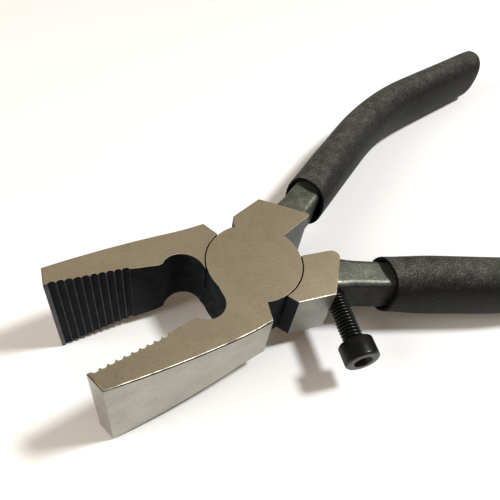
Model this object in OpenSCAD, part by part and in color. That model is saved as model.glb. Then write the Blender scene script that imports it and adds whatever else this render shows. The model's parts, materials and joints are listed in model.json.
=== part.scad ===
// Running pliers for scoring and snapping glass: two crossed forgings, rivet, grips, stop screw.
// Millimetres, +Z up. The hinge axis is Z through the origin; z = 0 is the joint's underside.
// Jaws point towards -X, handles towards +X, and the jaws are drawn partly open.

/* [Joint] */
// Radius of the round overlapping discs
disc_radius = 13.5; // [11:0.1:16]
// Full thickness of the head at the joint
head_thickness = 16.7; // [12:0.1:22]
// Gap between the two overlapping discs
lap_gap = 0.2; // [0.1:0.02:0.4]
// Gap round each disc where the other half is hollowed for it
recess_gap = 0.3; // [0.15:0.05:0.8]
// Diameter of the rivet through both discs
rivet_diameter = 9; // [6:0.5:12]
// Radial running clearance of the turning half on the rivet
rivet_clearance = 0.05; // [0.02:0.01:0.09]

/* [Jaws] */
// Distance from the hinge axis to the jaw tips
jaw_reach = 52.8; // [42:0.2:64]
// Half opening between the two tips
tip_half_opening = 13; // [8:0.1:18]
// Width of a jaw at its tip
tip_width = 5.3; // [4:0.1:8]
// How far the tip face leans back over that width
tip_lean = 1.4; // [0:0.1:3]
// Height of a jaw at its tip
tip_height = 30.2; // [18:0.2:36]
// Where the jaws begin to flare above the head, measured from the axis
flare_start = 12; // [9:0.5:20]
// How far the outer side of a jaw bulges between tip and shoulder
outer_bulge = 0.85; // [0.3:0.05:2]
// Number of grooves across the gripping face
groove_count = 10; // [4:1:14]
// Distance from one groove to the next
groove_pitch = 2; // [1.6:0.1:2.4]
// Radius of a groove
groove_radius = 1; // [0.7:0.05:1.2]
// Depth of a groove
groove_depth = 0.65; // [0.3:0.05:0.9]
// Flat land between the tip and the first groove's middle
groove_start = 2; // [1.4:0.1:4]
// Radius of the round throat behind the gripping face
throat_radius = 5.65; // [4:0.05:7]

/* [Shoulders] */
// Rounding of the base half's inner rear corner
base_shoulder_round = 2.2; // [0.5:0.1:3]
// Rounding of the top half's inner rear corner
top_shoulder_round = 0.8; // [0.5:0.1:3]
// How far the shoulder reaches behind the hinge axis
shoulder_reach = 25.2; // [23:0.2:30]

/* [Handles] */
// Angle of the handle to the centre line where it leaves the head
handle_angle = 27.1; // [20:0.1:34]
// Angle of the handle to the centre line beyond its bend
end_angle = 7.6; // [0:0.1:12]
// Downward set of the handles, so that tips and grips lie on one table
handle_drop = 1.9; // [0:0.1:3]
// Side distance of the handle's centre line 50 behind the axis
handle_offset = 27.4; // [25:0.1:31]
// Distance behind the axis at which the handle starts to bend
bend_start = 66; // [60:0.5:80]
// Radius of the bend along the centre line
bend_radius = 130; // [60:1:160]
// Length of the straight run behind the bend
end_run = 42; // [20:1:70]
// Width of the squared tang
tang_width = 9.4; // [7:0.1:12]
// Height of the squared tang
tang_height = 12.4; // [9:0.1:15]
// Corner rounding of the squared tang
tang_round = 2.2; // [1:0.1:3.4]
// Width of the bar inside the grip
bar_width = 8.8; // [6:0.1:11]
// Height of the bar inside the grip
bar_height = 13; // [9:0.1:16]

/* [Grips] */
// Wall of the grip beside the bore that takes the squared tang
grip_wall = 1.4; // [1:0.1:3]
// Gap between the squared tang and the grip's mouth, sideways
mouth_gap = 0.9; // [0.5:0.1:2]
// Height of the grip
grip_height = 20.8; // [17:0.2:26]
// Distance behind the axis of the top grip's mouth
top_mouth_start = 32.6; // [30:0.2:36]
// Distance behind the axis of the base grip's mouth
base_mouth_start = 34.2; // [30:0.2:38]
// Slant of the top grip's mouth, inner side forward
top_mouth_slant = 5; // [0:1:20]
// Slant of the base grip's mouth, inner side forward
base_mouth_slant = 16; // [0:1:20]
// Depth of the wider bore that takes the squared tang
mouth_depth = 15; // [11:0.5:22]
// Gap all round between grip and bar
grip_gap = 0.05; // [0.02:0.01:0.3]

/* [Stop screw] */
// Thread diameter
screw_diameter = 6; // [4:0.5:8]
// Length under the head
screw_length = 25; // [20:0.5:32]
// Head diameter
screw_head_diameter = 10; // [8:0.1:13]
// Head height
screw_head_height = 6; // [4:0.1:8]
// Width across flats of the hexagonal socket
socket_width = 5; // [3:0.5:6]
// Depth of the socket
socket_depth = 3.2; // [2:0.1:4]
// Lean of the screw from square to the centre line, towards the jaws
screw_lean = 16; // [0:0.5:20]
// Side distance of the underside of the head from the centre line
screw_standoff = 31.2; // [28:0.1:36]
// Distance behind the axis of the middle of the head's underside
screw_back = 14.15; // [12:0.05:17]
// Radial running clearance of the screw in its tapped hole
screw_clearance = 0.05; // [0.02:0.01:0.09]

/* [Hidden] */
half_head = head_thickness / 2;
lap_face = lap_gap / 2;
recess_radius = disc_radius + recess_gap;
steel = [0.55, 0.52, 0.45];
dark_steel = [0.2, 0.21, 0.22];
rubber = [0.22, 0.22, 0.21];
tip_inner = [-jaw_reach, -tip_half_opening];
tip_outer = [-jaw_reach + tip_lean, -tip_half_opening - tip_width];
face_rear = [-24.9, -9.3];
face_break = [-33, -10.8];
throat_centre = [-19.1, -5.5];
throat_front = [-20, -7.4];
throat_exit = [-13.57, -6.1];
disc_entry = disc_radius * [-cos(12), -sin(12)];
jaw_heel = [-6, -18.4];
jaw_heel_inner = [-4.2, -13.2];
chord_half = (jaw_heel[0] - tip_outer[0]) / 2;
side_radius = (chord_half * chord_half + outer_bulge * outer_bulge) / (2 * outer_bulge);
side_centre = [jaw_heel[0] - chord_half, (jaw_heel[1] + tip_outer[1]) / 2 - outer_bulge + side_radius];
flare_slope = (tip_height / 2 - half_head) / (jaw_reach - flare_start);
face_vector = face_break - tip_inner;
face_direction = face_vector / norm(face_vector);
face_side = [-face_direction[1], face_direction[0]];
shoulder_corner = [shoulder_reach, 7.4];
shoulder_outer = [14, 19.5];
shoulder_inner = [12.9, 4.2];
to_outer = (shoulder_outer - shoulder_corner) / norm(shoulder_outer - shoulder_corner);
to_inner = (shoulder_inner - shoulder_corner) / norm(shoulder_inner - shoulder_corner);
corner_half = acos(to_outer * to_inner) / 2;
to_middle = (to_outer + to_inner) / norm(to_outer + to_inner);
corner_lap = 0.05;
tang_start = 19;
straight_run = (bend_start - tang_start) / cos(handle_angle);
bend_sweep = handle_angle - end_angle;
tang_end = (max(top_mouth_start, base_mouth_start) - tang_start) / cos(handle_angle) + mouth_depth - 4;
bar_end = end_run - 4;
bore_width = tang_width + 2 * mouth_gap;
bore_height = tang_height + 4 * mouth_gap;
grip_width = bore_width + 2 * grip_wall;
cap_rise = (grip_height - grip_width) / 2;
point_chamfer = 0.6;
head_chamfer = 0.4;
head_face_diameter = screw_head_diameter - 2 * head_chamfer;
seam_lap = 1;
seam_step = 0.04;

// Plan outline of one jaw, tip at -X, gripping face towards +Y
module jaw_plan() {
  difference() {
    polygon([
      tip_inner, face_break, face_rear, throat_front, throat_exit, disc_entry, [-9, -2], [-2, -9],
      jaw_heel_inner,
      jaw_heel_inner + 1.32 * (jaw_heel - jaw_heel_inner),
      tip_inner + 1.32 * (tip_outer - tip_inner)
    ]);
    translate(throat_centre) circle(r = throat_radius, $fn = 72);
  }
}

// Side view of the head: level at the joint, flaring towards the tips above and below
module flare() {
  far = jaw_reach + 6;
  rise = half_head + flare_slope * (far - flare_start);
  soft = half_head + flare_slope * 4;
  rotate([90, 0, 0]) linear_extrude(height = 80, center = true) polygon([
    [0, half_head], [-flare_start + 4, half_head], [-flare_start - 4, soft], [-far, rise],
    [-far, -rise], [-flare_start - 4, -soft], [-flare_start + 4, -half_head], [0, -half_head]
  ]);
}

module jaw() {
  difference() {
    intersection() {
      linear_extrude(height = 50, center = true) jaw_plan();
      flare();
      translate([side_centre[0], side_centre[1], 0])
        cylinder(r = side_radius, h = 60, center = true, $fn = 720);
    }
    for (i = [0 : groove_count - 1]) {
      spot = tip_inner + face_direction * (groove_start + i * groove_pitch)
        + face_side * (groove_radius - groove_depth);
      translate([spot[0], spot[1], 0]) cylinder(r = groove_radius, h = 50, center = true, $fn = 40);
    }
  }
}

// Block between the disc and the tang, full head thickness, its inner rear corner rounded
module shoulder(rounding) {
  tangent_run = rounding / tan(corner_half) - corner_lap;
  translate([0, 0, -half_head]) linear_extrude(height = head_thickness) union() {
    polygon([
      [1.8, 13.9], [3.4, 16.9], shoulder_outer,
      shoulder_corner + to_outer * tangent_run,
      shoulder_corner + to_inner * tangent_run,
      shoulder_inner, [8, 3], [2, 9]
    ]);
    translate(shoulder_corner + to_middle * (rounding / sin(corner_half)))
      circle(r = rounding, $fn = 48);
  }
}

// Puts its children on the handle's straight run, with local +X along the run
module on_handle(run, drop) {
  reach = [tang_start, handle_offset - (50 - tang_start) * tan(handle_angle)];
  translate([reach[0], reach[1], 0]) rotate([0, drop, 0]) rotate([0, 0, handle_angle])
    translate([run, 0, 0]) children();
}

// Upright section with round top and bottom
module capsule(width, height) {
  square([width, height - width], center = true);
  for (up = [-1, 1]) translate([0, up * (height - width) / 2]) circle(d = width, $fn = 64);
}

// Stands a flat section across the handle, its second axis up, and carries it along local +X
module along(length) rotate([90, 0, 90]) linear_extrude(height = length) children();

// Puts its children at the far end of the bend, turned to the end run
module past_bend(drop)
  on_handle(straight_run, drop) translate([0, -bend_radius, 0]) rotate([0, 0, -bend_sweep])
    translate([0, bend_radius, 0]) children();

// Upright section carried along the handle from a given run: straight, bend, straight
module handle_bar(from, width, height, end_length, drop) {
  on_handle(from, drop) along(straight_run - from + seam_lap) capsule(width, height);
  on_handle(straight_run, drop) translate([0, -bend_radius, 0]) rotate([0, 0, 90 - bend_sweep])
    rotate_extrude(angle = bend_sweep, $fn = 240) translate([bend_radius, 0])
      capsule(width - seam_step, height - seam_step);
  past_bend(drop) translate([-seam_lap, 0, 0]) along(end_length + seam_lap) capsule(width, height);
}

module tang(drop) {
  wide = tang_width - 2 * tang_round;
  high = tang_height - 2 * tang_round;
  on_handle(0, drop) along(tang_end) union() {
    square([tang_width, high], center = true);
    square([wide, tang_height], center = true);
    for (side = [-1, 1]) for (up = [-1, 1])
      translate([side * wide / 2, up * high / 2]) circle(r = tang_round, $fn = 40);
  }
}

// One forging as the top half: jaw at -Y, disc above the lap, shoulder and handle at +Y
module forging(bore, drop, rounding) {
  difference() {
    union() {
      difference() {
        union() {
          jaw();
          shoulder(rounding);
        }
        translate([0, 0, -30]) cylinder(r = recess_radius, h = 30 + lap_face, $fn = 180);
      }
      translate([0, 0, lap_face]) cylinder(r = disc_radius, h = half_head - lap_face, $fn = 180);
      tang(drop);
      handle_bar(tang_end - 2, bar_width, bar_height, bar_end, drop);
    }
    cylinder(r = bore, h = 60, center = true, $fn = 96);
  }
}

// Puts its children on the stop screw's axis, local +Z pointing out of the tang, origin under the head
module on_screw() {
  translate([screw_back, -screw_standoff, 0]) rotate([90, 0, -screw_lean]) children();
}

// Every module above is drawn about the joint's mid-plane; this lifts a node to the frame's height
module lift() translate([0, 0, half_head]) children();

module base_half() color(steel) lift() difference() {
  rotate([180, 0, 0]) forging(rivet_diameter / 2, -handle_drop, base_shoulder_round);
  on_screw() translate([0, 0, -screw_length - 3])
    cylinder(r = screw_diameter / 2 + screw_clearance, h = screw_length - 4, $fn = 64);
}

module top_half() color(steel) lift()
  forging(rivet_diameter / 2 + rivet_clearance, handle_drop, top_shoulder_round);

module pivot_rivet() color(steel) lift()
  cylinder(r = rivet_diameter / 2, h = head_thickness, center = true, $fn = 96);

module stop_screw() color(dark_steel) lift() on_screw() difference() {
  union() {
    translate([0, 0, -screw_length])
      cylinder(r1 = screw_diameter / 2 - point_chamfer, r2 = screw_diameter / 2, h = point_chamfer, $fn = 64);
    translate([0, 0, point_chamfer - screw_length])
      cylinder(r = screw_diameter / 2, h = screw_length, $fn = 64);
    cylinder(r = screw_head_diameter / 2, h = screw_head_height - head_chamfer, $fn = 72);
    translate([0, 0, screw_head_height - head_chamfer])
      cylinder(d1 = screw_head_diameter, d2 = head_face_diameter, h = head_chamfer, $fn = 72);
  }
  translate([0, 0, screw_head_height - socket_depth])
    cylinder(d = socket_width / cos(30), h = socket_depth + 1, $fn = 6);
}

// Sleeve on the top half's handle, its mouth a given distance behind the axis and slanted
module grip(mouth_start, slant, drop) {
  mouth_run = (mouth_start - tang_start) / cos(handle_angle);
  difference() {
    union() {
      handle_bar(mouth_run - 6, grip_width, grip_height, end_run, drop);
      past_bend(drop) translate([end_run, 0, 0]) union() {
        cylinder(d = grip_width, h = 2 * cap_rise, center = true, $fn = 64);
        for (up = [-1, 1]) translate([0, 0, up * cap_rise]) sphere(d = grip_width, $fn = 64);
      }
    }
    on_handle(mouth_run, drop) rotate([0, 0, slant]) translate([-30, -20, -30]) cube([30, 40, 60]);
    on_handle(mouth_run - 8, drop) along(tang_end - mouth_run + 9) capsule(bore_width, bore_height);
    handle_bar(tang_end - 1, bar_width + 2 * grip_gap, bar_height + 2 * grip_gap, bar_end + 1, drop);
  }
}

module base_grip() color(rubber) lift() rotate([180, 0, 0])
  grip(base_mouth_start, -base_mouth_slant, -handle_drop);

module top_grip() color(rubber) lift() grip(top_mouth_start, -top_mouth_slant, handle_drop);

base_half();
top_half();
pivot_rivet();
stop_screw();
base_grip();
top_grip();
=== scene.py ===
# Running pliers on a pale bench: two crossed forgings, a flush rivet, sleeved handles and a stop screw.
# Outlines are in millimetres in the frame's own axes: hinge along Z, jaws towards -X, handles towards +X.
import json
import math
import bmesh
import bpy
from mathutils import Matrix, Vector, noise


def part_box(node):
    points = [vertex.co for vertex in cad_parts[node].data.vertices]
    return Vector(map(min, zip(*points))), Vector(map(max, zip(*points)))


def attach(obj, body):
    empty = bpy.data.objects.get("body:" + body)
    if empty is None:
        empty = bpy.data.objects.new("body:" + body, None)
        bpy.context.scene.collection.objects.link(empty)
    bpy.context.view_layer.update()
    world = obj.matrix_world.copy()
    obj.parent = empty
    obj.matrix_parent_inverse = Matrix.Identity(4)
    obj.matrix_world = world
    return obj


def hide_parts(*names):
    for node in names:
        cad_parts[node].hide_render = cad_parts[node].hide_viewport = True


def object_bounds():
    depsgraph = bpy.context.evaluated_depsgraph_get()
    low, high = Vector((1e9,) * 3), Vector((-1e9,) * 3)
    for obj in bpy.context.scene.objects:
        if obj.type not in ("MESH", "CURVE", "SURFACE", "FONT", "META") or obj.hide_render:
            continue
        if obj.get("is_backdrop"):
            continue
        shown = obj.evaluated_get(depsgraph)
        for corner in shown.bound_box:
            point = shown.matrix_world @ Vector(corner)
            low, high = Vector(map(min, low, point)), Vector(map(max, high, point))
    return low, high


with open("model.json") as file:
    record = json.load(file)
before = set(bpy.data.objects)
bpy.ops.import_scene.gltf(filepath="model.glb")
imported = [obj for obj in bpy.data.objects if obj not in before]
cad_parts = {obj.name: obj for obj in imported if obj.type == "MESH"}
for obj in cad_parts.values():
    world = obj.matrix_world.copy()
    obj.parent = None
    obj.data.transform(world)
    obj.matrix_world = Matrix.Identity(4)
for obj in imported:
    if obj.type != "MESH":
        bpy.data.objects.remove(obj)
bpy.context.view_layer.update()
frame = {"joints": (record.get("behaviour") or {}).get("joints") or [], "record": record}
record = frame["record"]
scene = bpy.context.scene
scene.view_settings.view_transform = "Standard"
mm = 0.001

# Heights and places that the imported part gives
hinge = next(j for j in frame["joints"] if j["name"] == "jaw_hinge")
midZ = hinge["pos_m"][2]
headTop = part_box("pivot_rivet")[1].z
halfHead = headTop - midZ
jawLow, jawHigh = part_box("base_half")
jawReach = -jawLow.x
tipHalf = jawHigh.z - midZ
socket = next(m for m in record["mounts"] if m["name"] == "stop_screw_socket")
screwFace = Vector(socket["pos_m"])
screwAxis = Vector(socket["axis"]).normalized()
middle = Matrix.Translation((0, 0, midZ))
flip = middle @ Matrix.Rotation(math.pi, 4, "X") @ middle.inverted()
print("frame loaded, jaw reach", round(jawReach / mm, 1), "mm")


def meshObject(name, bm, smooth=False):
    mesh = bpy.data.meshes.new(name)
    bm.to_mesh(mesh)
    bm.free()
    obj = bpy.data.objects.new(name, mesh)
    scene.collection.objects.link(obj)
    if smooth:
        mesh.shade_smooth()
    return obj


def arc(centre, radius, start, end, count):
    steps = [math.radians(start + (end - start) * i / count) for i in range(count + 1)]
    return [(centre[0] + radius * math.cos(a), centre[1] + radius * math.sin(a)) for a in steps]


# A closed outline in mm, raised between two heights in metres
def prism(name, outline, low, high):
    bm = bmesh.new()
    loop = [bm.verts.new((x * mm, y * mm, low)) for x, y in outline]
    base = bm.faces.new(loop)
    raised = bmesh.ops.extrude_face_region(bm, geom=[base])["geom"]
    bmesh.ops.translate(bm, verts=[v for v in raised if isinstance(v, bmesh.types.BMVert)],
                        vec=(0, 0, high - low))
    bmesh.ops.recalc_face_normals(bm, faces=bm.faces)
    return meshObject(name, bm)


# Freezes modifiers into a plain mesh
def frozen(obj):
    graph = bpy.context.evaluated_depsgraph_get()
    mesh = bpy.data.meshes.new_from_object(obj.evaluated_get(graph))
    obj.modifiers.clear()
    obj.data = mesh
    return obj


def combine(obj, tool, operation):
    modifier = obj.modifiers.new("combine", "BOOLEAN")
    modifier.operation = operation
    modifier.solver = "EXACT"
    modifier.object = tool
    frozen(obj)
    bpy.data.objects.remove(tool)
    return obj


def joined(objects, name):
    bpy.context.evaluated_depsgraph_get().update()
    with bpy.context.temp_override(active_object=objects[0], selected_editable_objects=objects):
        bpy.ops.object.join()
    objects[0].name = name
    objects[0].data.name = name
    return objects[0]


# Closed tube of rings, each ring a list of points
def loft(name, rings):
    bm = bmesh.new()
    made = [[bm.verts.new(p) for p in ring] for ring in rings]
    count = len(made[0])
    for first, second in zip(made, made[1:]):
        for i in range(count):
            j = (i + 1) % count
            bm.faces.new((first[i], first[j], second[j], second[i]))
    bm.faces.new(list(reversed(made[0])))
    bm.faces.new(made[-1])
    bmesh.ops.recalc_face_normals(bm, faces=bm.faces)
    return meshObject(name, bm, smooth=True)


# One material and the nodes that make its surface
class Graph:
    def __init__(self, name):
        self.material = bpy.data.materials.new(name)
        self.material.use_nodes = True
        self.tree = self.material.node_tree
        self.shader = self.tree.nodes["Principled BSDF"]
        self.place = self.add("ShaderNodeTexCoord").outputs["Object"]

    def add(self, kind, **values):
        node = self.tree.nodes.new(kind)
        for key, value in values.items():
            if hasattr(node, key):
                setattr(node, key, value)
            else:
                node.inputs[key.replace("_", " ")].default_value = value
        return node

    def link(self, source, target):
        self.tree.links.new(source, target)

    def stretched(self, scale):
        node = self.add("ShaderNodeMapping")
        node.inputs["Scale"].default_value = scale
        self.link(self.place, node.inputs["Vector"])
        return node.outputs["Vector"]

    def noise(self, vector, scale, detail=4.0, roughness=0.55, distortion=0.0):
        node = self.add("ShaderNodeTexNoise")
        node.inputs["Scale"].default_value = scale
        node.inputs["Detail"].default_value = detail
        node.inputs["Roughness"].default_value = roughness
        node.inputs["Distortion"].default_value = distortion
        self.link(vector, node.inputs["Vector"])
        return node.outputs["Fac"]

    def cells(self, vector, scale):
        node = self.add("ShaderNodeTexVoronoi", feature="F1")
        node.inputs["Scale"].default_value = scale
        self.link(vector, node.inputs["Vector"])
        return node.outputs["Distance"]

    def ramp(self, source, stops):
        node = self.add("ShaderNodeValToRGB")
        elements = node.color_ramp.elements
        while len(elements) < len(stops):
            elements.new(0.5)
        for element, (position, colour) in zip(elements, stops):
            element.position = position
            element.color = (*colour, 1)
        self.link(source, node.inputs["Fac"])
        return node.outputs["Color"]

    def span(self, source, low, high, fromLow=0.0, fromHigh=1.0):
        node = self.add("ShaderNodeMapRange")
        node.inputs["From Min"].default_value = fromLow
        node.inputs["From Max"].default_value = fromHigh
        node.inputs["To Min"].default_value = low
        node.inputs["To Max"].default_value = high
        self.link(source, node.inputs["Value"])
        return node.outputs["Result"]

    def math(self, kind, first, second):
        node = self.add("ShaderNodeMath", operation=kind)
        for socketIn, value in zip(node.inputs, (first, second)):
            if isinstance(value, (int, float)):
                socketIn.default_value = value
            else:
                self.link(value, socketIn)
        return node.outputs["Value"]

    def mix(self, kind, factor, first, second):
        node = self.add("ShaderNodeMix", data_type="RGBA", blend_type=kind)
        if isinstance(factor, (int, float)):
            node.inputs["Factor"].default_value = factor
        else:
            self.link(factor, node.inputs["Factor"])
        for socketIn, value in zip((node.inputs[6], node.inputs[7]), (first, second)):
            if isinstance(value, tuple):
                socketIn.default_value = (*value, 1)
            else:
                self.link(value, socketIn)
        return node.outputs[2]

    # Broad change of tone over the jaws, darker on the stop screw's side
    def sideToSideTone(self):
        axes = self.add("ShaderNodeSeparateXYZ")
        self.link(self.place, axes.inputs["Vector"])
        side = self.span(axes.outputs["Y"], -1.0, 1.0, -0.016, 0.016)
        reach = self.span(axes.outputs["X"], 1.0, 0.35, -0.03, 0.012)
        lift = self.math("MULTIPLY", side, reach)
        even = self.span(lift, 0.0, 1.0, -1.0, 1.0)
        return self.ramp(even, [(0.0, (0.61, 0.60, 0.57)), (1.0, (1.0, 0.99, 0.98))])

    # How far a face looks up, blurred by a tone: the mask for painted light on the tops
    def upward(self, tone, low, high):
        axes = self.add("ShaderNodeSeparateXYZ")
        self.link(self.add("ShaderNodeNewGeometry").outputs["Normal"], axes.inputs["Vector"])
        height = self.math("ADD", axes.outputs["Z"], self.math("MULTIPLY", tone, 0.5))
        return self.span(height, 0.0, 1.0, low, high)

    def bump(self, height, distance, strength=1.0):
        node = self.add("ShaderNodeBump")
        node.inputs["Distance"].default_value = distance
        node.inputs["Strength"].default_value = strength
        self.link(height, node.inputs["Height"])
        self.link(node.outputs["Normal"], self.shader.inputs["Normal"])

    def set(self, **values):
        for key, value in values.items():
            socketIn = self.shader.inputs[key.replace("_", " ")]
            if isinstance(value, bpy.types.NodeSocket):
                self.link(value, socketIn)
            else:
                socketIn.default_value = value
        return self.material


# Surface-ground steel: fine grit lines in one direction under a soft brownish mottling
def groundSteel(name, pale, dark, grain, rough):
    g = Graph(name)
    streaks = g.noise(g.stretched(grain), 1.0, 6.0, 0.7)
    blotches = g.noise(g.place, 140.0, 3.0, 0.6)
    specks = g.noise(g.place, 2600.0, 3.0, 0.7)
    tone = g.math("ADD", g.math("MULTIPLY", streaks, 0.35), g.math("MULTIPLY", blotches, 0.65))
    colour = g.ramp(tone, [(0.36, dark), (0.62, pale)])
    pitted = g.ramp(specks, [(0.33, (0.62, 0.60, 0.57)), (0.46, (1, 1, 1))])
    toned = g.mix("MULTIPLY", 0.8, g.mix("MULTIPLY", 1.0, colour, g.sideToSideTone()), pitted)
    g.bump(g.math("ADD", streaks, g.math("MULTIPLY", specks, 0.6)), 0.00004, 0.7)
    return g.set(Base_Color=toned, Metallic=0.85, Roughness=g.span(tone, rough + 0.12, rough - 0.08))


# Black oxide on the gripping faces and inside the joint
def blackOxide(name, tint, rough, shine=0.25):
    g = Graph(name)
    clouds = g.noise(g.place, 320.0, 4.0, 0.6)
    grit = g.noise(g.place, 3200.0, 3.0, 0.6)
    paleTones = tuple(min(1.0, c * 2.4) for c in tint)
    colour = g.ramp(clouds, [(0.35, tint), (0.75, paleTones)])
    g.bump(grit, 0.00005, 0.6)
    even = g.span(clouds, rough + 0.1, rough - 0.1)
    return g.set(Base_Color=colour, Specular_IOR_Level=shine, Roughness=even)


# Scaled forging: uneven dark skin, its upward side painted pale with bright specks as a painted highlight
def forgedSkin(name):
    g = Graph(name)
    lumps = g.noise(g.place, 190.0, 5.0, 0.62, 0.4)
    scale = g.noise(g.place, 1500.0, 4.0, 0.65)
    tone = g.math("ADD", g.math("MULTIPLY", lumps, 0.6), g.math("MULTIPLY", scale, 0.4))
    skin = g.ramp(tone, [(0.36, (0.008, 0.008, 0.008)), (0.70, (0.035, 0.035, 0.032))])
    paleTones = [(0.36, (0.08, 0.085, 0.072)), (0.54, (0.15, 0.16, 0.13)), (0.7, (0.3, 0.31, 0.26))]
    litTopTones = g.ramp(tone, paleTones)
    top = g.upward(tone, 0.75, 1.2)
    g.bump(tone, 0.0003, 0.8)
    # Painted highlight: faces that look up take the pale tones, as if lit from above
    colour = g.mix("MIX", top, skin, litTopTones)
    rough = g.span(tone, 0.55, 0.34)
    metal = g.span(top, 0.05, 0.7)
    return g.set(Base_Color=colour, Metallic=metal, Specular_IOR_Level=0.08, Roughness=rough)


# Edge finish between a pale and a dark tone: bright where an edge has been rubbed through, near-black for
# the painted shade on the outer chamfers
def edgeWearAndShade(name, pale, dark):
    g = Graph(name)
    patches = g.noise(g.place, 420.0, 4.0, 0.6)
    colour = g.ramp(patches, [(0.38, dark), (0.6, pale)])
    return g.set(Base_Color=colour, Metallic=0.8, Roughness=g.span(patches, 0.5, 0.3))


# Sleeve rubber: matte charcoal with a leathery grain and mottling, paler on the upward side as a painted
# sheen
def sleeveRubber(name):
    g = Graph(name)
    mottle = g.noise(g.place, 330.0, 5.0, 0.6, 0.3)
    grain = g.cells(g.place, 1100.0)
    fine = g.noise(g.place, 2600.0, 4.0, 0.7)
    tone = g.math("ADD", g.math("MULTIPLY", mottle, 0.25), g.math("MULTIPLY", fine, 0.75))
    plain = g.ramp(tone, [(0.4, (0.0015, 0.0015, 0.0014)), (0.6, (0.007, 0.007, 0.006))])
    litTopTones = [(0.4, (0.026, 0.026, 0.023)), (0.52, (0.062, 0.062, 0.054)), (0.62, (0.16, 0.16, 0.14))]
    paintedSheen = g.ramp(tone, litTopTones)
    # Painted sheen: faces that look up take the paler tones
    colour = g.mix("MIX", g.upward(tone, 0.65, 1.35), plain, paintedSheen)
    g.bump(g.math("ADD", g.math("MULTIPLY", grain, 0.5), tone), 0.0002, 0.8)
    return g.set(Base_Color=colour, Roughness=g.span(tone, 0.6, 0.45), Specular_IOR_Level=0.1)


# Satin black of the screw, with a faint haze
def screwBlack(name):
    g = Graph(name)
    haze = g.noise(g.place, 500.0, 4.0, 0.6)
    fine = g.noise(g.place, 3500.0, 3.0, 0.6)
    colour = g.ramp(haze, [(0.35, (0.002, 0.0022, 0.002)), (0.7, (0.006, 0.0063, 0.005))])
    g.bump(fine, 0.00002, 0.5)
    rough = g.span(haze, 0.38, 0.26)
    return g.set(Base_Color=colour, Metallic=0.1, Specular_IOR_Level=0.34, Roughness=rough)


topGround = groundSteel("topGround", (0.53, 0.455, 0.325), (0.42, 0.36, 0.255), (420, 2600, 420), 0.42)
sideGround = groundSteel("sideGround", (0.69, 0.685, 0.63), (0.57, 0.565, 0.515), (900, 900, 2600), 0.40)
# Painted shade: a darker copy of the ground steel for the shoulder's outer side beside the screw
heelGround = groundSteel("heelGround", (0.45, 0.455, 0.43), (0.35, 0.355, 0.335), (900, 900, 2600), 0.44)
# Painted shade: a darker copy still for the rear inner walls of the shoulders, between the halves
rearGround = groundSteel("rearGround", (0.22, 0.23, 0.235), (0.15, 0.16, 0.165), (900, 900, 2600), 0.5)
jawOxide = blackOxide("jawOxide", (0.005, 0.0066, 0.0085), 0.6, 0.08)
innerOxide = blackOxide("innerOxide", (0.008, 0.010, 0.012), 0.5, 0.15)
# Painted highlight: a paler, shinier oxide for the light lines along the rib crests
crestOxide = blackOxide("crestOxide", (0.028, 0.032, 0.038), 0.45, 0.4)
tangSkin = forgedSkin("tangSkin")
brightEdge = edgeWearAndShade("brightEdge", (0.52, 0.46, 0.37), (0.13, 0.11, 0.08))
# Painted shade: near-black chamfer under the outer rims
darkEdge = edgeWearAndShade("darkEdge", (0.05, 0.045, 0.035), (0.012, 0.011, 0.010))
forgingFinishes = {
    "top": topGround, "side": sideGround, "jaw": jawOxide, "joint": innerOxide, "brightEdge": brightEdge,
    "tang": tangSkin, "crest": crestOxide, "darkEdge": darkEdge, "heel": heelGround, "rear": rearGround,
}
finishSlot = {key: place for place, key in enumerate(forgingFinishes)}
gripRubber = sleeveRubber("gripRubber")
boreRubber = blackOxide("boreRubber", (0.0025, 0.0025, 0.0025), 0.7, 0.08)
screwFinish = screwBlack("screwFinish")
print("materials ready")


head = {
    "tipInner": (-52.8, -13.0), "tipOuter": (-51.4, -18.3), "faceBreak": (-33.0, -10.8),
    "faceRear": (-24.9, -9.3), "heelOuter": (-6.0, -18.4), "heelInner": (-4.2, -13.2),
    "outerBulge": 0.85, "throatCentre": (-19.1, -5.5), "throatRadius": 5.65, "throatEnd": 4,
    "throatJoin": (-13.2, -2.8), "insideDisc": [(-9, -3), (-2, -9)],
    "discRadius": 13.5, "recessGap": 0.3, "lapGap": 0.2, "boreRadius": 4.505,
    "grooveCount": 10, "groovePitch": 2.0, "grooveRadius": 1.0, "grooveDepth": 0.65, "grooveStart": 2.0,
    "blankHalf": 30.0, "cutterReach": 50.0, "weld": 0.004, "sharpAngle": 34.0, "broadFlat": 30.0,
}

flare = {"start": 12.0, "soft": 5.0, "steps": 8, "rear": 30.0, "beyond": 4.0, "side": 40.0}

bevels = {
    "rim": 0.3, "inner": 0.09, "corner": 0.42, "groove": 0.06, "sharpest": 24.0,
    "clearOfBore": 5.0, "clearOfLap": 1.0, "ribsRear": -31.5, "ribsSide": 13.6,
}

shoulder = {
    "frontInner": (1.8, 13.9), "frontOuter": (3.4, 16.9), "rearOuter": (14.0, 19.5),
    "rearInner": (25.2, 7.4), "discEnd": (11.67, 3.88), "insideDisc": [(2, 9), (8, 3)],
    "topRound": 0.8, "baseRound": 2.2,
}


# Named points of a dictionary as vectors, in mm
def pointsOf(*names, source=head):
    return [Vector(source[n]) for n in names]


# Outer side of a jaw: a flat arc through the tip's and the heel's outer corners
def outerSide(count=24):
    heel, tip = pointsOf("heelOuter", "tipOuter")
    half = (heel.x - tip.x) / 2
    radius = (half * half + head["outerBulge"] ** 2) / (2 * head["outerBulge"])
    centre = ((heel.x + tip.x) / 2, (heel.y + tip.y) / 2 - head["outerBulge"] + radius)
    swing = math.degrees(math.asin(half / radius))
    return arc(centre, radius, 270 + swing, 270 - swing, count)


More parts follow.
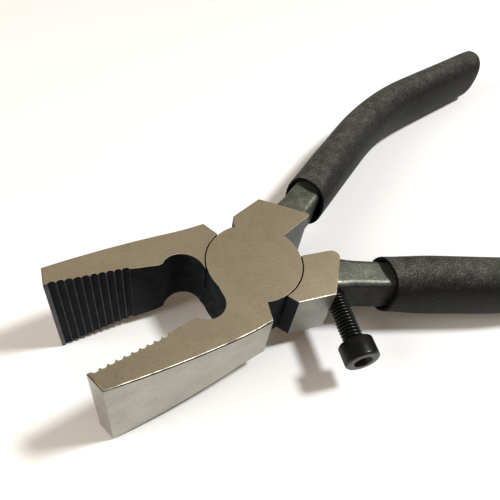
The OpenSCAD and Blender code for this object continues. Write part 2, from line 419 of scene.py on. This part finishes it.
# The jaw from above: ribbed face, throat, a way through the disc, heel and outer side
def jawOutline():
    cx, cy = head["throatCentre"]
    r = head["throatRadius"]
    rear = Vector(head["faceRear"])
    meet = cx - math.sqrt(r * r - (rear.y - cy) ** 2)
    startTurn = math.degrees(math.atan2(rear.y - cy, meet - cx))
    throat = arc((cx, cy), r, startTurn, head["throatEnd"], 26)
    outline = [head["tipInner"], head["faceBreak"], head["faceRear"]]
    outline += throat
    outline += [head["throatJoin"], *head["insideDisc"], head["heelInner"]]
    outline += outerSide()
    return outline


# The shoulder from above, its rear corner rounded
def shoulderOutline(rounding):
    corner, outer, inner = pointsOf("rearInner", "rearOuter", "discEnd", source=shoulder)
    toOuter, toInner = (outer - corner).normalized(), (inner - corner).normalized()
    half = toOuter.angle(toInner) / 2
    centre = corner + (toOuter + toInner).normalized() * rounding / math.sin(half)
    first, last = (corner + side * rounding / math.tan(half) - centre for side in (toInner, toOuter))
    turns = [math.degrees(math.atan2(v.y, v.x)) for v in (first, last)]
    corner = arc(centre, rounding, *turns, 10)
    return [shoulder["frontInner"], *shoulder["insideDisc"], shoulder["discEnd"], *corner,
            shoulder["rearOuter"], shoulder["frontOuter"]]


# Side view of a jaw as a solid across the head, with a soft start to the flare
def flareSolid():
    start, soft, steps, beyond = (flare[key] for key in ("start", "soft", "steps", "beyond"))
    slope = (tipHalf - halfHead) / (jawReach - start * mm)
    run = [(flare["rear"], 0.0), (-start + soft, 0.0)]
    for i in range(1, steps + 1):
        back = -soft + 2 * soft * i / steps
        run.append((-start - back, slope * (back + soft) ** 2 / (4 * soft)))
    run.append((-jawReach / mm - beyond, slope * (jawReach / mm + beyond - start)))
    upper = [(x, halfHead / mm + rise) for x, rise in run]
    outline = upper + [(x, -z) for x, z in reversed(upper)]
    solid = prism("flare", outline, -flare["side"] * mm, flare["side"] * mm)
    solid.data.transform(middle @ Matrix.Rotation(math.pi / 2, 4, "X"))
    return solid


# An input of a node group, with its value when none is given
def socketOf(tree, name, kind, value):
    made = tree.interface.new_socket(name=name, in_out="INPUT", socket_type=kind)
    made.default_value = value
    return made


# Links of a node group, each as source, output, target and input
def wire(tree, links):
    for source, output, target, entry in links:
        tree.links.new(source.outputs[output], target.inputs[entry])


# Cutters for the grooves: upright round bars in a row along a line
def grooveTree():
    tree = bpy.data.node_groups.new("grooveRow", "GeometryNodeTree")
    socketOf(tree, "Count", "NodeSocketInt", 10)
    socketOf(tree, "Pitch", "NodeSocketVector", (0.002, 0, 0))
    socketOf(tree, "First", "NodeSocketVector", (0, 0, 0))
    socketOf(tree, "Radius", "NodeSocketFloat", 0.001)
    socketOf(tree, "Height", "NodeSocketFloat", 0.05)
    tree.interface.new_socket(name="Geometry", in_out="OUTPUT", socket_type="NodeSocketGeometry")
    given = tree.nodes.new("NodeGroupInput")
    result = tree.nodes.new("NodeGroupOutput")
    row = tree.nodes.new("GeometryNodeMeshLine")
    bar = tree.nodes.new("GeometryNodeMeshCylinder")
    bar.inputs["Vertices"].default_value = 36
    spread = tree.nodes.new("GeometryNodeInstanceOnPoints")
    realize = tree.nodes.new("GeometryNodeRealizeInstances")
    finish = tree.nodes.new("GeometryNodeSetMaterial")
    finish.inputs["Material"].default_value = jawOxide
    wire(tree, [
        (given, "Count", row, "Count"), (given, "Pitch", row, "Offset"),
        (given, "First", row, "Start Location"), (given, "Radius", bar, "Radius"),
        (given, "Height", bar, "Depth"), (row, "Mesh", spread, "Points"),
        (bar, "Mesh", spread, "Instance"), (spread, "Instances", realize, "Geometry"),
        (realize, "Geometry", finish, "Geometry"), (finish, "Geometry", result, "Geometry"),
    ])
    return tree


# An object made by a node group alone, with the named inputs set, then frozen
def runTree(tree, name, **values):
    obj = bpy.data.objects.new(name, bpy.data.meshes.new(name))
    scene.collection.objects.link(obj)
    modifier = obj.modifiers.new(name, "NODES")
    modifier.node_group = tree
    for item in tree.interface.items_tree:
        if item.in_out == "INPUT" and item.name in values:
            modifier[item.identifier] = values[item.name]
    return frozen(obj)


# The row of bars set along the ribbed face
def grooveCutters():
    tip, rear = pointsOf("tipInner", "faceBreak")
    along = (rear - tip).normalized()
    outward = Vector((-along.y, along.x))
    radius = head["grooveRadius"]
    first = (tip + along * head["grooveStart"] + outward * (radius - head["grooveDepth"])) * mm
    step = along * head["groovePitch"] * mm
    return runTree(grooveTree(), "grooves", Count=head["grooveCount"], Radius=radius * mm,
                   Height=2 * head["blankHalf"] * mm, Pitch=(step.x, step.y, 0.0),
                   First=(first.x, first.y, midZ))


def discOutline(radius, count=112):
    return arc((0, 0), radius, 0, 360 - 360 / count, count - 1)


# Head of the top half: jaw, disc above the lap and shoulder, in place
def headSolid(rounding):
    lap = midZ + head["lapGap"] / 2 * mm
    blank, far = head["blankHalf"] * mm, head["cutterReach"] * mm
    solid = prism("head", jawOutline(), midZ - blank, midZ + blank)
    combine(solid, prism("disc", discOutline(head["discRadius"]), midZ, far), "UNION")
    combine(solid, prism("shoulder", shoulderOutline(rounding), -far, 2 * far), "UNION")
    combine(solid, flareSolid(), "INTERSECT")
    combine(solid, grooveCutters(), "DIFFERENCE")
    hollow = discOutline(head["discRadius"] + head["recessGap"])
    combine(solid, prism("recess", hollow, -far, lap), "DIFFERENCE")
    combine(solid, prism("bore", discOutline(head["boreRadius"], 64), -far, far), "DIFFERENCE")
    return solid


# Depth of a point below the gripping face, in mm
def gripDepth(x, y):
    tip, rear = pointsOf("tipInner", "faceBreak")
    along = (rear - tip).normalized()
    return (x - tip.x) * along.y - (y - tip.y) * along.x


# Where one finish ends and the next begins on the head, in mm from the hinge
zones = {
    "lapDepth": 2.0, "shoulderSide": 16.9, "rearStart": 12.0, "tipStart": -50.0, "tipSide": -13.3,
    "outerSide": -16.0, "ribsRear": -31.0, "crestDepth": 0.1, "outerEdge": 13.5,
}


# Which finish a head face has: ground flats and outer sides, black in the jaws and the joint
def headFinish(face):
    normal, centre = face.normal, face.calc_center_median()
    x, y = centre.x / mm, centre.y / mm
    if abs(normal.z) > 0.9:
        return "top" if abs(centre.z - midZ) > zones["lapDepth"] * mm else "joint"
    if x >= 0:
        # Rear inner walls take the painted-shade steel
        if x > zones["rearStart"] and normal.y < -0.8:
            return "rear"
        # The shoulder's outer side takes the painted-shade steel
        return "heel" if y > zones["shoulderSide"] and normal.y > 0.5 else "jaw"
    onTip = x < zones["tipStart"] and y < zones["tipSide"] and normal.x < -0.8
    if onTip or (normal.y < -0.5 and y < zones["outerSide"]):
        return "side"
    # Flats and crests of the gripping face take the painted-highlight oxide
    return "crest" if x < zones["ribsRear"] and gripDepth(x, y) < zones["crestDepth"] else "jaw"


# How wide a bevel an edge of the head gets, in mm
def bevelWidth(edge):
    if len(edge.link_faces) != 2 or edge.calc_face_angle(0) < math.radians(bevels["sharpest"]):
        return 0
    spot = (edge.verts[0].co + edge.verts[1].co) / 2
    if spot.xy.length < bevels["clearOfBore"] * mm or abs(spot.z - midZ) < bevels["clearOfLap"] * mm:
        return 0
    kinds = {face.material_index for face in edge.link_faces}
    rim = any(abs(face.normal.z) > 0.9 for face in edge.link_faces)
    if spot.x < bevels["ribsRear"] * mm and abs(spot.y) < bevels["ribsSide"] * mm:
        return bevels["groove"] if rim else 0
    if kinds & {finishSlot["side"], finishSlot["heel"]}:
        return bevels["corner"] if spot.x < 0 else bevels["rim"]
    return bevels["inner"]


# Bevelled and marked head: thin worn lines on the rims, tiny ones on the groove crests
def dressHead(obj):
    mesh = obj.data
    mesh.materials.clear()
    for material in forgingFinishes.values():
        mesh.materials.append(material)
    bm = bmesh.new()
    bm.from_mesh(mesh)
    bmesh.ops.remove_doubles(bm, verts=bm.verts, dist=1e-6)
    bmesh.ops.dissolve_limit(bm, angle_limit=math.radians(0.5), verts=bm.verts, edges=bm.edges)
    weight = bm.edges.layers.float.new("bevel_weight_edge")
    for face in bm.faces:
        face.material_index = finishSlot[headFinish(face)]
    for edge in bm.edges:
        edge[weight] = bevelWidth(edge) / bevels["corner"]
    bm.to_mesh(mesh)
    bm.free()
    bevel = obj.modifiers.new("edges", "BEVEL")
    bevel.width = bevels["corner"] * mm
    bevel.segments = 3
    bevel.limit_method = "WEIGHT"
    bevel.use_clamp_overlap = False
    bevel.material = finishSlot["brightEdge"]
    return frozen(obj)


# Worn metal along the outer edges over a chamfer painted near-black as shade, oxide on the edges inside
# the jaws and the joint
def edgeFinish(polygon):
    normal = polygon.normal
    x, y = polygon.center.x / mm, polygon.center.y / mm
    onTip = x < zones["tipStart"] and normal.x < -0.2
    outside = abs(y) > zones["outerEdge"] and normal.y * y > 0
    if abs(normal.z) > 0.8:
        return "brightEdge" if outside and y < 0 and not onTip else "top"
    # Rear bevels inside take the painted-shade steel
    if x > zones["rearStart"] and not outside:
        return "rear"
    if outside or onTip:
        # Outer bevels behind the hinge take the painted-shade steel
        if x >= 0:
            return "heel"
        # The chamfers in front of the hinge take the painted-shade near-black
        return "darkEdge" if abs(normal.z) > 0.2 else "side"
    return "jaw"


# Gives the bevels, which come out of the modifier in one finish, the finish of their place
def finishEdges(obj):
    for polygon in obj.data.polygons:
        if polygon.material_index == finishSlot["brightEdge"]:
            polygon.material_index = finishSlot[edgeFinish(polygon)]


# Smooth shading that keeps the flats flat
def shadeFlats(obj):
    obj.data.shade_smooth()
    obj.data.set_sharp_from_angle(angle=math.radians(head["sharpAngle"]))
    broad = set()
    for polygon in obj.data.polygons:
        if abs(polygon.normal.z) > 0.999 and polygon.area > head["broadFlat"] * mm * mm:
            broad.update(polygon.edge_keys)
    for edge in obj.data.edges:
        if edge.key in broad:
            edge.use_edge_sharp = True
    weighted = obj.modifiers.new("flats", "WEIGHTED_NORMAL")
    weighted.mode = "FACE_AREA"
    weighted.keep_sharp = True
    return frozen(obj)


handle = {
    "start": 19.0, "angle": 27.1, "endAngle": 7.6, "drop": 1.9, "offsetAt50": 27.4,
    "bendStart": 66.0, "bendRadius": 130.0, "endRun": 42.0, "barEnd": 4.0, "bar": (8.8, 13.0),
    "rootSize": (10.6, 12.8), "tangSize": (9.4, 12.4), "tangRound": 1.9, "tangEnd": 44.0,
    "neck": 9.0, "toBar": 3.0, "tangStep": 0.7, "barStep": 4.0, "lumps": [(260, 0.07), (90, 0.2)],
}

grip = {
    "width": 14.0, "endWidth": 12.6, "height": 21.3, "mouthHeight": 18.2, "bore": (12.0, 16.6),
    "boreDepth": 11.0, "boreSteps": 8, "lip": 0.75, "lipLead": 0.6, "lipSteps": 8, "swell": 16,
    "taper": 60, "around": 72, "step": 1.4, "squareness": 2.3, "darkRings": 15, "domeSteps": 12,
    "domeFlat": 0.6, "unevenness": (60, 0.10),
    "top": {"mouth": 32.6, "skew": 0.087}, "base": {"mouth": 34.2, "skew": 0.287},
}


# Point and heading on the top half's handle line, by distance from its start, in mm
def handleAt(run):
    a, b = math.radians(handle["angle"]), math.radians(handle["endAngle"])
    start = Vector((handle["start"], handle["offsetAt50"] - (50 - handle["start"]) * math.tan(a)))
    straight = (handle["bendStart"] - handle["start"]) / math.cos(a)
    sweep = (a - b) * handle["bendRadius"]
    if run <= straight:
        return start + Vector((math.cos(a), math.sin(a))) * run, a
    corner = start + Vector((math.cos(a), math.sin(a))) * straight
    centre = corner + Vector((math.sin(a), -math.cos(a))) * handle["bendRadius"]
    turned = min(run - straight, sweep) / handle["bendRadius"]
    heading = a - turned
    spot = centre + Vector((-math.sin(heading), math.cos(heading))) * handle["bendRadius"]
    spot += Vector((math.cos(heading), math.sin(heading))) * max(0.0, run - straight - sweep)
    return spot, heading


# Distance along the handle line at which it reaches an X, in mm
def runAt(x):
    return (x - handle["start"]) / math.cos(math.radians(handle["angle"]))


def handleLength():
    a, b = math.radians(handle["angle"]), math.radians(handle["endAngle"])
    return runAt(handle["bendStart"]) + (a - b) * handle["bendRadius"] + handle["endRun"]


# A point beside and above the handle line, in metres
def besideHandle(run, sideways, up):
    spot, heading = handleAt(run)
    across = Vector((-math.sin(heading), math.cos(heading))) * sideways
    return Vector(((spot.x + across.x) * mm, (spot.y + across.y) * mm, midZ + up * mm))


# Turns what was made for the top half into its place: the handle's drop, and the flip for the base half
def settle(obj, isTop):
    root = besideHandle(0, 0, 0)
    turn = math.radians(handle["drop"] if isTop else -handle["drop"])
    placed = Matrix.Translation(root) @ Matrix.Rotation(turn, 4, "Y") @ Matrix.Translation(-root)
    obj.data.transform(placed if isTop else flip @ placed)
    return obj


# Section of the tang and the bar: a rectangle with rounded corners
def roundedSquare(width, height, corner, count=8):
    points = []
    for quarter, (sx, sy) in enumerate([(1, 1), (-1, 1), (-1, -1), (1, -1)]):
        centre = (sx * (width / 2 - corner), sy * (height / 2 - corner))
        points += arc(centre, corner, 90 * quarter, 90 * quarter + 90, count)
    return points


def circleSection(radius, count):
    return arc((0, 0), radius, 0, 360 - 360 / count, count - 1)


# Upright oval, a little squarer than an ellipse
def ovalSection(width, height, count):
    points = []
    for i in range(count):
        turn = 2 * math.pi * i / count
        c, s = math.cos(turn), math.sin(turn)
        power = 2 / grip["squareness"]
        x, y = math.copysign(abs(c) ** power, c), math.copysign(abs(s) ** power, s)
        points.append((x * width / 2, y * height / 2))
    return points


# Smooth step from one value to another
def blend(low, high, t):
    t = max(0.0, min(1.0, t))
    t = t * t * (3 - 2 * t)
    return low + (high - low) * t


# Uneven surface of something forged or moulded, moved by a smooth noise
def roughen(obj, *waves):
    for vertex in obj.data.vertices:
        swell = sum(noise.noise(vertex.co * scale) * height for scale, height in waves)
        vertex.co += vertex.normal * swell * mm


# Squared tang out of the shoulder, easing into the bar that the sleeve hides
def tangSolid(isTop):
    rings = []
    last = handleLength() - handle["barEnd"]
    run = 0.0
    while run < last:
        fromRoot = run / handle["neck"]
        toBar = (run - runAt(handle["tangEnd"])) / handle["toBar"]
        sizes = zip(handle["rootSize"], handle["tangSize"], handle["bar"])
        width, height = (blend(blend(root, size, fromRoot), bar, toBar) for root, size, bar in sizes)
        corner = blend(handle["tangRound"], handle["bar"][0] / 2 - 0.01, toBar)
        rings.append([besideHandle(run, w, h) for w, h in roundedSquare(width, height, corner)])
        run += handle["tangStep"] if toBar < 1 else handle["barStep"]
    solid = loft("tang", rings)
    roughen(solid, *handle["lumps"])
    for material in forgingFinishes.values():
        solid.data.materials.append(material)
    for polygon in solid.data.polygons:
        polygon.material_index = finishSlot["tang"]
    return settle(solid, isTop)


screw = {
    "headRadius": 5.0, "headHeight": 6.0, "headRound": 0.7, "faceRadius": 3.05, "neckRadius": 2.2,
    "socketWidth": 5.0, "socketDepth": 3.2, "socketChamfer": (-0.55, 0.35, 0.45),
    "length": 25.0, "coreRadius": 2.45, "crestRadius": 2.98, "pitch": 1.0, "unthreaded": 1.2,
    "endChamfer": 0.5, "holeRadius": 3.05, "holeBeyond": 3.0, "sinkRadius": 3.7, "sinkDepth": 0.6,
    "entry": 13.6, "sinkTop": 8.0,
}


# A solid of revolution about Z, from radius and height pairs in mm
def spun(name, profile, count):
    rings = []
    for radius, height in profile:
        rings.append([(x * mm, y * mm, height * mm) for x, y in circleSection(radius, count)])
    return loft(name, rings)


# Local +Z along the screw, pointing out of the tang, origin at the head's outer face
def screwMatrix():
    turn = screwAxis.to_track_quat("Z", "Y").to_matrix().to_4x4()
    return Matrix.Translation(screwFace) @ turn


# Tapped hole with a small countersink, bored through the base half's tang along the screw
def screwHole():
    bore, sink = screw["holeRadius"], screw["sinkRadius"]
    entry = -screw["headHeight"] - screw["entry"]
    far = -screw["headHeight"] - screw["length"] - screw["holeBeyond"]
    profile = [(bore, far), (bore, entry - screw["sinkDepth"]), (sink, entry), (sink, -screw["sinkTop"])]
    hole = spun("hole", profile, 64)
    for material in forgingFinishes.values():
        hole.data.materials.append(material)
    for polygon in hole.data.polygons:
        polygon.material_index = finishSlot["jaw"]
    hole.data.transform(screwMatrix())
    return hole


# Merges points closer together than the weld distance and drops degenerate edges
def weld(obj):
    bm = bmesh.new()
    bm.from_mesh(obj.data)
    bmesh.ops.remove_doubles(bm, verts=bm.verts, dist=head["weld"] * mm)
    bmesh.ops.dissolve_degenerate(bm, edges=bm.edges, dist=head["weld"] * mm)
    bm.to_mesh(obj.data)
    bm.free()


# One half of the pliers: bevelled head, then its tang, and the screw's hole in the base half
def forging(name, isTop):
    solid = dressHead(headSolid(shoulder["topRound" if isTop else "baseRound"]))
    if not isTop:
        solid.data.transform(flip)
    finishEdges(solid)
    combine(solid, tangSolid(isTop), "UNION")
    if not isTop:
        combine(solid, screwHole(), "DIFFERENCE")
    weld(solid)
    solid.name = name
    return shadeFlats(solid)


topHalf = forging("topForging", True)
print("top half", len(topHalf.data.polygons), "faces")
baseHalf = forging("baseForging", False)
print("base half", len(baseHalf.data.polygons), "faces")
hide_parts("top_half")
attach(topHalf, "top")
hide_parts("base_half")
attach(baseHalf, "base")


# Rivet, ground flush with both discs
def rivetSolid():
    solid = prism("pivotRivet", discOutline(head["boreRadius"] - 0.005, 64), 0.0, headTop)
    solid.data.materials.append(topGround)
    return solid


rivet = rivetSolid()
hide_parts("pivot_rivet")
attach(rivet, "base")


# Sleeve with a rolled lip at its skewed mouth, a bore, and a domed far end
def gripSolid(name, isTop):
    side = grip["top" if isTop else "base"]
    mouth, total = runAt(side["mouth"]), handleLength()
    bend = runAt(handle["bendStart"])
    lead = grip["lipLead"]

    def ring(run, width, height):
        fade = side["skew"] * max(0.0, 1 - (run - mouth) / grip["swell"])
        return [besideHandle(run + fade * w, w, h) for w, h in ovalSection(width, height, grip["around"])]

    def outer(run):
        width = blend(grip["width"], grip["endWidth"], (run - bend) / grip["taper"])
        return width, blend(grip["mouthHeight"], grip["height"], (run - mouth) / grip["swell"])

    bore, rim, steps = grip["bore"], outer(mouth), grip["boreSteps"]
    rings = [ring(mouth + grip["boreDepth"] * (1 - i / steps) + lead, *bore) for i in range(steps + 1)]
    for i in range(1, grip["lipSteps"]):
        turn = math.pi * i / grip["lipSteps"]
        size = (inner + (whole - inner) * (1 - math.cos(turn)) / 2 for inner, whole in zip(bore, rim))
        rings.append(ring(mouth + lead - math.sin(turn) * grip["lip"], *size))
    run = mouth + lead
    while run < total:
        rings.append(ring(run, *outer(run)))
        run += grip["step"]
    width, height = outer(total)
    for i in range(1, grip["domeSteps"]):
        turn = math.pi / 2 * i / grip["domeSteps"]
        reach, across = math.sin(turn) * width / 2, math.cos(turn)
        flat = (height - width) * (1 - grip["domeFlat"] * (1 - across))
        rings.append(ring(total + reach, across * width, across * (width + flat)))
    obj = loft(name, rings)
    roughen(obj, grip["unevenness"])
    # Painted shade: the bore and the lip take the dull black bore rubber, without the painted sheen of
    # the outside
    for material in (gripRubber, boreRubber):
        obj.data.materials.append(material)
    for polygon in obj.data.polygons:
        polygon.material_index = 1 if polygon.index < grip["around"] * grip["darkRings"] else 0
    return settle(obj, isTop)


for name, node, body in (("topSleeve", "top_grip", "top"), ("baseSleeve", "base_grip", "base")):
    sleeve = gripSolid(name, body == "top")
    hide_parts(node)
    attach(sleeve, body)
print("grips ready")


# Helical ridge of a thread, wound on a spiral with a pointed profile
def threadTree():
    tree = bpy.data.node_groups.new("threadHelix", "GeometryNodeTree")
    socketOf(tree, "Turns", "NodeSocketFloat", 20.0)
    socketOf(tree, "Radius", "NodeSocketFloat", 0.0024)
    socketOf(tree, "Height", "NodeSocketFloat", 0.02)
    socketOf(tree, "Ridge", "NodeSocketFloat", 0.0006)
    tree.interface.new_socket(name="Geometry", in_out="OUTPUT", socket_type="NodeSocketGeometry")
    given = tree.nodes.new("NodeGroupInput")
    result = tree.nodes.new("NodeGroupOutput")
    helix = tree.nodes.new("GeometryNodeCurveSpiral")
    helix.inputs["Resolution"].default_value = 40
    upright = tree.nodes.new("GeometryNodeSetCurveNormal")
    upright.mode = "Z_UP"
    ridge = tree.nodes.new("GeometryNodeCurvePrimitiveCircle")
    ridge.inputs["Resolution"].default_value = 4
    sweep = tree.nodes.new("GeometryNodeCurveToMesh")
    sweep.inputs["Fill Caps"].default_value = True
    realize = tree.nodes.new("GeometryNodeRealizeInstances")
    finish = tree.nodes.new("GeometryNodeSetMaterial")
    finish.inputs["Material"].default_value = screwFinish
    wire(tree, [
        (given, "Turns", helix, "Rotations"), (given, "Radius", helix, "Start Radius"),
        (given, "Radius", helix, "End Radius"), (given, "Height", helix, "Height"),
        (given, "Ridge", ridge, "Radius"), (helix, "Curve", upright, "Curve"),
        (upright, "Curve", sweep, "Curve"), (ridge, "Curve", sweep, "Profile Curve"),
        (sweep, "Mesh", realize, "Geometry"), (realize, "Geometry", finish, "Geometry"),
        (finish, "Geometry", result, "Geometry"),
    ])
    return tree


# Socket head cap screw: plain round head with a hexagon socket, and a threaded shank
def screwSolid():
    r, h, e = screw["headRadius"], screw["headHeight"], screw["headRound"]
    profile = [(screw["neckRadius"], -h), (r - 0.35, -h), (r - 0.05, 0.3 - h), (r, 0.6 - h)]
    profile += arc((r - e, -e), e, 0, 90, 6)
    profile += [(screw["faceRadius"], 0.0)]
    crown = spun("crown", profile, 72)
    width = screw["socketWidth"] / math.sqrt(3)
    hexagon = arc((0, 0), width, 0, 300, 5)
    combine(crown, prism("key", hexagon, -screw["socketDepth"] * mm, 2 * mm), "DIFFERENCE")
    narrow, wide, deep = screw["socketChamfer"]
    chamfer = spun("chamfer", [(width + narrow, -deep), (width + wide, deep)], 48)
    combine(crown, chamfer, "DIFFERENCE")
    crown.data.shade_smooth()
    length, core, tip = screw["length"], screw["coreRadius"], screw["endChamfer"]
    shankLine = [(core - tip, -h - length), (core, -h - length + tip), (core, -h + 0.2)]
    shank = spun("shank", shankLine, 48)
    threaded = length - screw["unthreaded"]
    ridge = runTree(threadTree(), "thread", Turns=threaded / screw["pitch"], Radius=core * mm,
                    Height=threaded * mm, Ridge=(screw["crestRadius"] - core) * mm)
    ridge.data.transform(Matrix.Translation((0, 0, (-h - length + 0.7) * mm)))
    for part in (crown, shank, ridge):
        part.data.materials.clear()
        part.data.materials.append(screwFinish)
    obj = joined([crown, shank, ridge], "stopScrew")
    obj.data.transform(screwMatrix())
    return obj


stopScrew = screwSolid()
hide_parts("stop_screw")
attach(stopScrew, "screw")
print("stop screw", len(stopScrew.data.polygons), "faces")


bench = {"colour": (0.9, 0.9, 0.9), "size": 3.0, "clearance": 0.05}


# Level bench just under the lowest points of the jaws and the sleeves
def benchPlane():
    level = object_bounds()[0][2] - bench["clearance"] * mm
    reach = bench["size"]
    bm = bmesh.new()
    corners = [(-reach, -reach), (reach, -reach), (reach, reach), (-reach, reach)]
    bm.faces.new([bm.verts.new((x, y, level)) for x, y in corners])
    obj = meshObject("bench", bm)
    g = Graph("benchPaper")
    tone = g.noise(g.place, 9.0, 3.0, 0.5)
    colour = g.ramp(tone, [(0.2, tuple(c * 0.985 for c in bench["colour"])), (0.8, bench["colour"])])
    obj.data.materials.append(g.set(Base_Color=colour, Roughness=0.7))
    return obj


benchPlane()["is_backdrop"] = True

lights = {
    "key": {
        "toward": (0.47, -0.18, 0.84), "distance": 0.75, "size": 0.12, "power": 4.9,
        "colour": (0.98, 0.99, 1.0),
    },
    "window": {
        "toward": (-0.85, 0.15, 0.5), "distance": 0.8, "size": 0.5, "power": 4.6,
        "colour": (1.0, 0.95, 0.87),
    },
}
surroundings = {"colour": (1.0, 0.80, 0.60, 1), "strength": 0.26}


# Round soft light that faces the joint
def areaLight(name, toward, distance, size, power, colour):
    data = bpy.data.lights.new(name, "AREA")
    data.shape = "DISK"
    data.size = size
    data.energy = power
    data.color = colour
    obj = bpy.data.objects.new(name, data)
    direction = Vector(toward).normalized()
    obj.location = direction * distance
    obj.rotation_mode = "QUATERNION"
    obj.rotation_quaternion = direction.to_track_quat("Z", "Y")
    scene.collection.objects.link(obj)
    return obj


# Only the key shows in reflections
for name, settings in lights.items():
    areaLight(name, **settings).visible_glossy = name == "key"

world = bpy.data.worlds.new("studio")
world.use_nodes = True
backdrop = world.node_tree.nodes["Background"]
backdrop.inputs["Color"].default_value = surroundings["colour"]
backdrop.inputs["Strength"].default_value = surroundings["strength"]
scene.world = world

camera = {
    "place": (-61.29, -66.25, 122.90), "azimuth": -42.597, "elevation": 53.59, "roll": -12.575,
    "lens": 38.08, "shiftX": 0.0, "shiftY": 0.0555,
}


# Looks at the tool from over the jaw tips; the place is measured from the joint's middle, in mm
def makeCamera():
    a, e, roll = (math.radians(camera[k]) for k in ("azimuth", "elevation", "roll"))
    back = Vector((math.sin(a) * math.cos(e), -math.cos(a) * math.cos(e), math.sin(e)))
    right = (-back).cross(Vector((0, 0, 1))).normalized()
    down = (-back).cross(right)
    turnedRight = right * math.cos(roll) + down * math.sin(roll)
    turnedDown = down * math.cos(roll) - right * math.sin(roll)
    data = bpy.data.cameras.new("camera")
    data.lens = camera["lens"]
    data.shift_x = camera["shiftX"]
    data.shift_y = camera["shiftY"]
    data.clip_start = 0.005
    obj = bpy.data.objects.new("camera", data)
    obj.matrix_world = Matrix((
        (turnedRight.x, -turnedDown.x, back.x, camera["place"][0] * mm),
        (turnedRight.y, -turnedDown.y, back.y, camera["place"][1] * mm),
        (turnedRight.z, -turnedDown.z, back.z, camera["place"][2] * mm + midZ),
        (0, 0, 0, 1),
    ))
    scene.collection.objects.link(obj)
    scene.camera = obj


makeCamera()
print("bench, light and camera ready")
